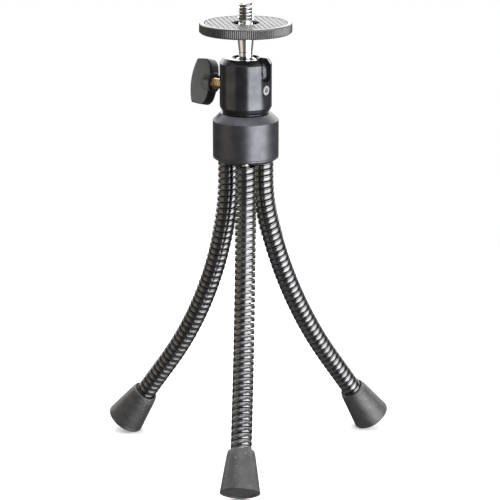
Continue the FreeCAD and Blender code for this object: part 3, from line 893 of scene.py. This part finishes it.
def ribbed_pad(sizes):
    """Pad in the plate, with parallel grooves moulded across it."""
    high = heights("grip_pad")[1]
    radius = half_width("grip_pad") - sizes.pad_gap
    low = high - sizes.pad_depth + 0.01 * MM
    inner = sizes.window + 0.05 * MM
    crest = high - 0.05 * MM
    outline = soften([(inner, low), (radius, low), (radius, crest), (inner, crest)], sizes.edge, closed=True)
    piece = turned("ribbed_pad", outline, 192, closed=True)
    half = sizes.groove_width / 2
    count = int(radius / sizes.groove_pitch) + 1
    floor = crest - sizes.groove_depth
    reach = radius * 2
    way = Matrix.Rotation(sizes.groove_turn, 4, "Z")
    for k in range(-count, count + 1):
        middle = (k + 0.5) * sizes.groove_pitch
        start, end = middle - half, middle + half
        corners = [(start, -reach), (end, -reach), (end, reach), (start, reach)]
        groove = prism("tool", corners, floor, high + MM)
        for vertex in groove.data.vertices:
            if vertex.co.z < crest:
                vertex.co.x += (middle - vertex.co.x) * GROOVE_TAPER
        groove.data.transform(way)
        cut(piece, groove)
    bevel(piece, 0.06 * MM, 2, 35)
    finish_mesh(piece)
    put(piece, "mount", "pad_rubber", "grip_pad")


# ---- Lock screw and knob ---------------------------------------------------------

def lock_screw(sizes):
    """Brass screw with a conical tip."""
    crest = sizes.screw_radius
    length = sizes.screw_end - sizes.screw_start

    def limit(distance):
        return min(crest, sizes.screw_tip + distance, crest - sizes.screw_chamfer + (length - distance))

    line = straight(outward_azimuth(), pivot("knob_turn").z, "out")
    piece = threaded("brass_lock_screw", lambda distance: line(sizes.screw_start + distance), length,
                     sizes.pitch, crest, sizes.thread_depth, limit, 32)
    put(piece, "lock_screw", "brass", "lock_screw")


def wing_knob(sizes):
    """Flat wing on a round boss, its corners a little away from the head."""
    tip = (sizes.wing_end - sizes.tip_back, sizes.half_span - sizes.tip_in)
    bend_at = sizes.wing_at + sizes.sweep
    side = [(sizes.wing_at, sizes.root_half), (bend_at, sizes.half_span - sizes.corner),
            (bend_at + sizes.corner, sizes.half_span), tip]
    rise = sizes.tip_back
    bow = (tip[1] ** 2 + rise ** 2) / (2 * rise)
    centre = sizes.wing_end - bow
    spread = math.asin(tip[1] / bow)
    arc = [(centre + bow * math.cos(a), bow * math.sin(a))
           for a in (spread * (1 - k / 10) for k in range(1, 20))]
    outline = side + arc + [(x, -z) for x, z in reversed(side)]
    corners = [tuple(corner) for corner in soften(outline, sizes.corner_round, closed=True)]
    wing = prism("wing", corners, -sizes.half_thickness, sizes.half_thickness)
    wing.data.transform(Matrix.Rotation(math.pi / 2, 4, "X"))
    bevel(wing, sizes.rounding, 5, 30)
    boss_end = sizes.boss_at + sizes.boss_length
    outline = [(sizes.bore, boss_end), (sizes.bore, sizes.boss_at + 0.5 * MM),
               (sizes.bore + 0.35 * MM, sizes.boss_at + 0.1 * MM),
               (sizes.boss_radius - 0.5 * MM, sizes.boss_at), (sizes.boss_radius, sizes.boss_at + 0.35 * MM),
               (sizes.boss_radius, boss_end)]
    boss = turned("boss", soften(outline, 0.15 * MM, closed=True), 96, closed=True)
    boss.data.transform(lay(0, 0))
    cut(wing, rod(sizes.bore, 0, sizes.bore_end, 0, 0))
    piece = join("wing_knob_moulding", wing, boss)
    place = Matrix.Translation((0, 0, pivot("knob_turn").z)) @ Matrix.Rotation(outward_azimuth(), 4, "Z")
    piece.data.transform(place @ Matrix.Rotation(sizes.lean, 4, "X"))
    put(piece, "knob", "knob_plastic", "wing_knob")


# ---- Legs -------------------------------------------------------------------------

def sole_reach(sizes):
    """How far the rounding of the sole's edge reaches along the sole."""
    corner = math.pi / 2 - math.atan2(sizes.foot_bottom - sizes.foot_top, sizes.foot_length)
    return sizes.foot_edge / math.tan(corner / 2)


class LegLine:
    """Centre line of one gooseneck: straight below the hub, an arc from joint to joint, and
    straight on into the foot. Distances run from its upper end."""

    def __init__(self, leg, sizes, recess_depth):
        self.joints = [JOINTS["%s_leg_bend_%d" % (leg, k)] for k in range(1, 7)]
        self.points = [Vector(joint["pos_m"]) for joint in self.joints]
        self.across = Vector(self.joints[0]["axis"])
        top = pivot(leg + "_leg_swing").z + recess_depth - 0.1 * MM
        way = Vector((0, 0, -1))
        start = Vector((self.points[0].x, self.points[0].y, top))
        self.stretches = [(0.0, start, way, self.across, 0.0)]
        distance = top - self.points[0].z
        self.marks = [distance]
        for here, after in zip(self.points, self.points[1:]):
            chord = after - here
            ahead = chord.normalized()
            lean = ahead - way * ahead.dot(way)
            bend = 2 * math.asin(min(1.0, lean.length))
            curvature = 2 * math.sin(bend / 2) / chord.length
            self.stretches.append((distance, here, way, lean.normalized(), curvature))
            way = ahead * (2 * ahead.dot(way)) - way
            distance += bend / curvature
            self.marks.append(distance)
        self.stretches.append((distance, self.points[-1], way, self.across, 0.0))
        self.way = way
        tilt = math.acos(-way.z)
        flat = sizes.foot_bottom - sole_reach(sizes)
        rest = flat * math.sin(tilt) + sizes.foot_edge * (1 - math.cos(tilt))
        last = (self.points[-1].z - rest) / math.cos(tilt)
        self.sole = self.points[-1] + way * last
        self.length = distance + last - sizes.foot_length + sizes.foot_bore_depth

    def tangent_at(self, number):
        """Direction of the line at a joint."""
        return self.stretches[number + 1][2]

    def __call__(self, distance):
        """Place and two directions across at a distance."""
        begin, place, way, lean, curvature = [s for s in self.stretches if s[0] <= max(distance, 0.0)][-1]
        run = distance - begin
        if curvature:
            angle = run * curvature
            here = place + (way * math.sin(angle) + lean * (1 - math.cos(angle))) / curvature
            way = way * math.cos(angle) + lean * math.sin(angle)
        else:
            here = place + way * run
        return here, self.across, way.cross(self.across)


def winding_outline(sizes):
    """One turn of the gooseneck: a gap, a narrow wire, a shallow line and a wide flat wire."""
    root = sizes.radius - sizes.scallop
    deep = sizes.radius - sizes.gap_depth

    def wire(start, end, height, points, squareness):
        ease = [k / (points - 1) for k in range(points)]
        return [((start + end) / 2 - (end - start) / 2 * math.cos(math.pi * t),
                 root + height * math.sin(math.pi * t) ** squareness) for t in ease]

    gap = sizes.gap / 2
    narrow = wire(gap, gap + sizes.lip, sizes.scallop - sizes.lip_in, 6, 0.55)
    wide = wire(gap + sizes.lip + sizes.line, 1 - gap, sizes.scallop, 10, 0.45)
    return [(0.0, deep), (gap - 0.01, deep)] + narrow + wide + [(1 - gap + 0.01, deep), (1.0, deep)]


def goosenecks(sizes, recess_depth):
    """Six wound lengths for each leg, each round one joint of its line."""
    outline = winding_outline(sizes)
    for leg in LEGS:
        line = LegLine(leg, sizes, recess_depth)
        middles = [(a + b) / 2 for a, b in zip(line.marks, line.marks[1:])]
        breaks = [0] + [round(middle / sizes.pitch - 0.5) for middle in middles]
        breaks.append(int(line.length / sizes.pitch) - 1)
        for number, (begin, end) in enumerate(zip(breaks, breaks[1:])):
            piece = wound("%s_gooseneck_%d" % (leg, number + 1), line, begin * sizes.pitch, end - begin,
                          sizes.pitch, outline, sizes.steps)
            reach = line.tangent_at(number) * sizes.blend_reach
            line.points[number] - reach
            line.points[number] + reach
            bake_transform(piece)
            nodes = ["leg_%s_section_%d" % (leg, number + 1)] + (["leg_%s_root" % leg] if number == 0 else [])
            dress(piece, "black_gooseneck", *nodes)


def feet(sizes, recess_depth):
    """Conical rubber feet, each with a moulded line near its sole and near its top."""
    slope = (sizes.foot_bottom - sizes.foot_top) / sizes.foot_length
    top = sizes.foot_length
    floor = top - sizes.foot_bore_depth

    def flank(height):
        return sizes.foot_bottom - slope * height

    rim_inner = sizes.foot_bottom - sizes.sole_rim
    half = sizes.line_half
    low, high = sizes.low_line, top - sizes.high_line
    sole = [(0, sizes.sole_recess), (rim_inner - 0.3 * MM, sizes.sole_recess), (rim_inner, 0),
            (sizes.foot_bottom - sole_reach(sizes), 0)]
    side = [(flank(0.25 * MM), 0.25 * MM), (flank(low - half), low - half), (flank(low) - 0.07 * MM, low),
            (flank(low + half), low + half), (flank(high - half), high - half),
            (flank(high) - 0.09 * MM, high), (flank(high + half) - 0.02 * MM, high + half),
            (flank(top) - 0.03 * MM, top - 1.0 * MM)]
    rim = [(flank(top) - sizes.foot_rim * (1 - math.cos(a)) - 0.03 * MM,
            top - sizes.foot_rim * (1 - math.sin(a))) for a in (math.pi / 2 * k / 6 for k in range(1, 7))]
    grip = sizes.radius + HAIR
    bore = [(sizes.foot_bore, top - 0.2 * MM), (sizes.foot_bore - 0.05 * MM, top - 2.8 * MM),
            (grip, top - 3.2 * MM), (grip, floor), (0, floor)]
    outline = soften(sole + side, 0.12 * MM)[:-1] + rim[:-1] + soften([rim[-1]] + bore, 0.15 * MM)
    for leg in LEGS:
        line = LegLine(leg, sizes, recess_depth)
        piece = turned("%s_rubber_foot" % leg, outline, 120)
        upward = -line.way
        upright = Matrix((line.across, upward.cross(line.across), upward)).transposed().to_4x4()
        piece.data.transform(Matrix.Translation(line.sole) @ upright)
        finish_mesh(piece)
        put(piece, "%s_leg_6" % leg, "foot_rubber", "leg_%s_foot" % leg)


# ---- Stage ------------------------------------------------------------------------

def floor_disc(settings, tones):
    """Plain pale floor."""
    material = bpy.data.materials.new("pale_floor")
    graph = Graph(material)
    grain = graph.noise(graph.place(), 40.0)
    graph.surface(Base_Color=graph.mixed(grain * 0.05, tones.floor, shade(tones.floor, 0.95)), Roughness=0.9)
    outline = [(0, -2 * MM), (settings.floor_radius, -2 * MM), (settings.floor_radius, 0), (0, 0)]
    floor = turned("floor", outline, 96)
    floor.data.materials.append(material)
    floor.visible_glossy = False
    floor.visible_diffuse = False


WHITE = (1.0, 1.0, 1.0)
WARM = (1.0, 0.90, 0.74)


def studio_light(settings):
    """White surroundings for the camera; soft lights and a dark side for everything else."""
    world = bpy.data.worlds.new("studio")
    bpy.context.scene.world = world
    graph = Graph(world)
    direction = graph.node("ShaderNodeTexCoord", {}, {}).outputs["Generated"]
    x, y, z = graph.parts(direction)
    round_to = x.angle_from(0 - y)
    upright = z.band(-0.75, -0.45, 0.35, 0.65)
    backwards = y * (x * x + y * y + 0.0001) ** -0.5
    side = round_to.band(0.08, 0.34, 1.1, 1.65) * upright
    halo = round_to.band(-0.1, 0.2, 1.6, 2.0) * upright
    warm = round_to.band(-1.9, -1.5, -0.95, -0.7) * upright
    back = backwards.rise(0.2, 0.8) * z.band(0.0, 0.1, 0.6, 0.9)
    high = z.rise(0.55, 0.85)
    top = z.rise(0.88, 0.96)
    bounce = 1 - z.rise(-0.9, -0.7)
    total = (settings.fill_light + side * settings.side_light + halo * settings.halo_light
             + warm * settings.warm_light + back * settings.back_light + high * settings.high_light
             + top * settings.top_light + bounce * settings.bounce_light)
    tone = graph.mixed(warm, WHITE, WARM)
    room = graph.node("ShaderNodeBackground", {}, {"Color": tone, "Strength": total})
    white = graph.node("ShaderNodeBackground", {}, {"Color": colour(WHITE), "Strength": 1.0})
    seen = graph.node("ShaderNodeLightPath", {}, {}).outputs["Is Camera Ray"]
    both = graph.node("ShaderNodeMixShader", {}, {0: seen, 1: room.outputs[0], 2: white.outputs[0]})
    graph.node("ShaderNodeOutputWorld", {}, {"Surface": both.outputs[0]})


def stage_camera(settings):
    """Camera in front of the tripod, looking a little down."""
    lens = bpy.data.cameras.new("camera")
    lens.lens = settings.focal
    lens.sensor_width = SENSOR_WIDTH
    lens.clip_start = 0.01
    camera = bpy.data.objects.new("camera", lens)
    camera.location = (settings.camera_side, -settings.camera_back, settings.camera_height)
    camera.rotation_euler = (math.pi / 2 - settings.camera_pitch, 0, 0)
    bpy.context.scene.collection.objects.link(camera)
    bpy.context.scene.camera = camera
    bpy.context.scene.view_settings.view_transform = "Standard"


# ---- Operators ----------------------------------------------------------------------

class TRIPOD_OT_stage(bpy.types.Operator):
    """Set up the camera, the floor and the light"""
    bl_idname = "tripod.stage"
    bl_label = "Stage"

    def execute(self, context):
        stage_camera(context.scene.tripod_stage)
        floor_disc(context.scene.tripod_stage, context.scene.tripod_finish)
        studio_light(context.scene.tripod_stage)
        return {"FINISHED"}


class TRIPOD_OT_hub(bpy.types.Operator):
    """Turn the hub's cover and its leg plate"""
    bl_idname = "tripod.hub"
    bl_label = "Hub"

    def execute(self, context):
        hub_cover(context.scene.tripod_hub)
        leg_plate(context.scene.tripod_hub)
        return {"FINISHED"}


class TRIPOD_OT_head(bpy.types.Operator):
    """Turn the ball head's barrel and the stem"""
    bl_idname = "tripod.head"
    bl_label = "Head"

    def execute(self, context):
        head_barrel(context.scene.tripod_head)
        ball_stem(context.scene.tripod_stem)
        return {"FINISHED"}


class TRIPOD_OT_mount(bpy.types.Operator):
    """Make the camera plate, its pad and the camera screw"""
    bl_idname = "tripod.mount"
    bl_label = "Camera mount"

    def execute(self, context):
        sizes = context.scene.tripod_mount
        camera_screw(sizes)
        camera_plate(sizes)
        ribbed_pad(sizes)
        return {"FINISHED"}


class TRIPOD_OT_lock(bpy.types.Operator):
    """Make the lock screw and its wing knob"""
    bl_idname = "tripod.lock"
    bl_label = "Lock screw and knob"

    def execute(self, context):
        lock_screw(context.scene.tripod_knob)
        wing_knob(context.scene.tripod_knob)
        return {"FINISHED"}


class TRIPOD_OT_legs(bpy.types.Operator):
    """Wind the gooseneck legs"""
    bl_idname = "tripod.legs"
    bl_label = "Legs"

    def execute(self, context):
        goosenecks(context.scene.tripod_legs, context.scene.tripod_hub.recess_depth)
        return {"FINISHED"}


class TRIPOD_OT_feet(bpy.types.Operator):
    """Mould the rubber feet"""
    bl_idname = "tripod.feet"
    bl_label = "Feet"

    def execute(self, context):
        feet(context.scene.tripod_legs, context.scene.tripod_hub.recess_depth)
        return {"FINISHED"}


class TRIPOD_OT_finish_parts(bpy.types.Operator):
    """Give the parts that stay as they are their finishes"""
    bl_idname = "tripod.finish_parts"
    bl_label = "Finish carried-over parts"

    def execute(self, context):
        slots = {part["node"]: part["material_slot"] for part in frame["record"]["subparts"]}
        for name, node in frame["nodes"].items():
            if not node.hide_render:
                paint(node, slots[name])
        return {"FINISHED"}


OPERATORS = (TRIPOD_OT_stage, TRIPOD_OT_hub, TRIPOD_OT_head, TRIPOD_OT_mount, TRIPOD_OT_lock,
             TRIPOD_OT_legs, TRIPOD_OT_feet, TRIPOD_OT_finish_parts)
SETTINGS = {
    "tripod_stage": TripodStageSettings,
    "tripod_hub": TripodHubSettings,
    "tripod_head": TripodHeadSettings,
    "tripod_stem": TripodStemSettings,
    "tripod_mount": TripodMountSettings,
    "tripod_knob": TripodKnobSettings,
    "tripod_legs": TripodLegSettings,
    "tripod_finish": TripodFinishSettings,
}


class TRIPOD_PT_sidebar(bpy.types.Panel):
    """Lists every step and its settings"""
    bl_idname = "TRIPOD_PT_sidebar"
    bl_label = "Table tripod"
    bl_space_type = "VIEW_3D"
    bl_region_type = "UI"
    bl_category = "Tripod"

    def draw(self, context):
        for operator in OPERATORS:
            self.layout.operator(operator.bl_idname)
        for name in SETTINGS:
            box = self.layout.box()
            group = getattr(context.scene, name)
            for key in group.bl_rna.properties.keys():
                if key not in ("rna_type", "name"):
                    box.prop(group, key)


def register():
    """Add the settings, the operators and the panel."""
    for name, kind in SETTINGS.items():
        bpy.utils.register_class(kind)
        setattr(bpy.types.Scene, name, PointerProperty(type=kind))
    for kind in OPERATORS + (TRIPOD_PT_sidebar,):
        bpy.utils.register_class(kind)


def unregister():
    """Take them away again."""
    for kind in reversed(OPERATORS + (TRIPOD_PT_sidebar,)):
        bpy.utils.unregister_class(kind)
    for name, kind in reversed(SETTINGS.items()):
        delattr(bpy.types.Scene, name)
        bpy.utils.unregister_class(kind)


def main():
    """Build everything in order."""
    register()
    bpy.ops.tripod.stage()
    bpy.ops.tripod.hub()
    bpy.ops.tripod.head()
    bpy.ops.tripod.mount()
    bpy.ops.tripod.lock()
    bpy.ops.tripod.legs()
    bpy.ops.tripod.feet()
    bpy.ops.tripod.finish_parts()


if __name__ == "__main__":
    main()
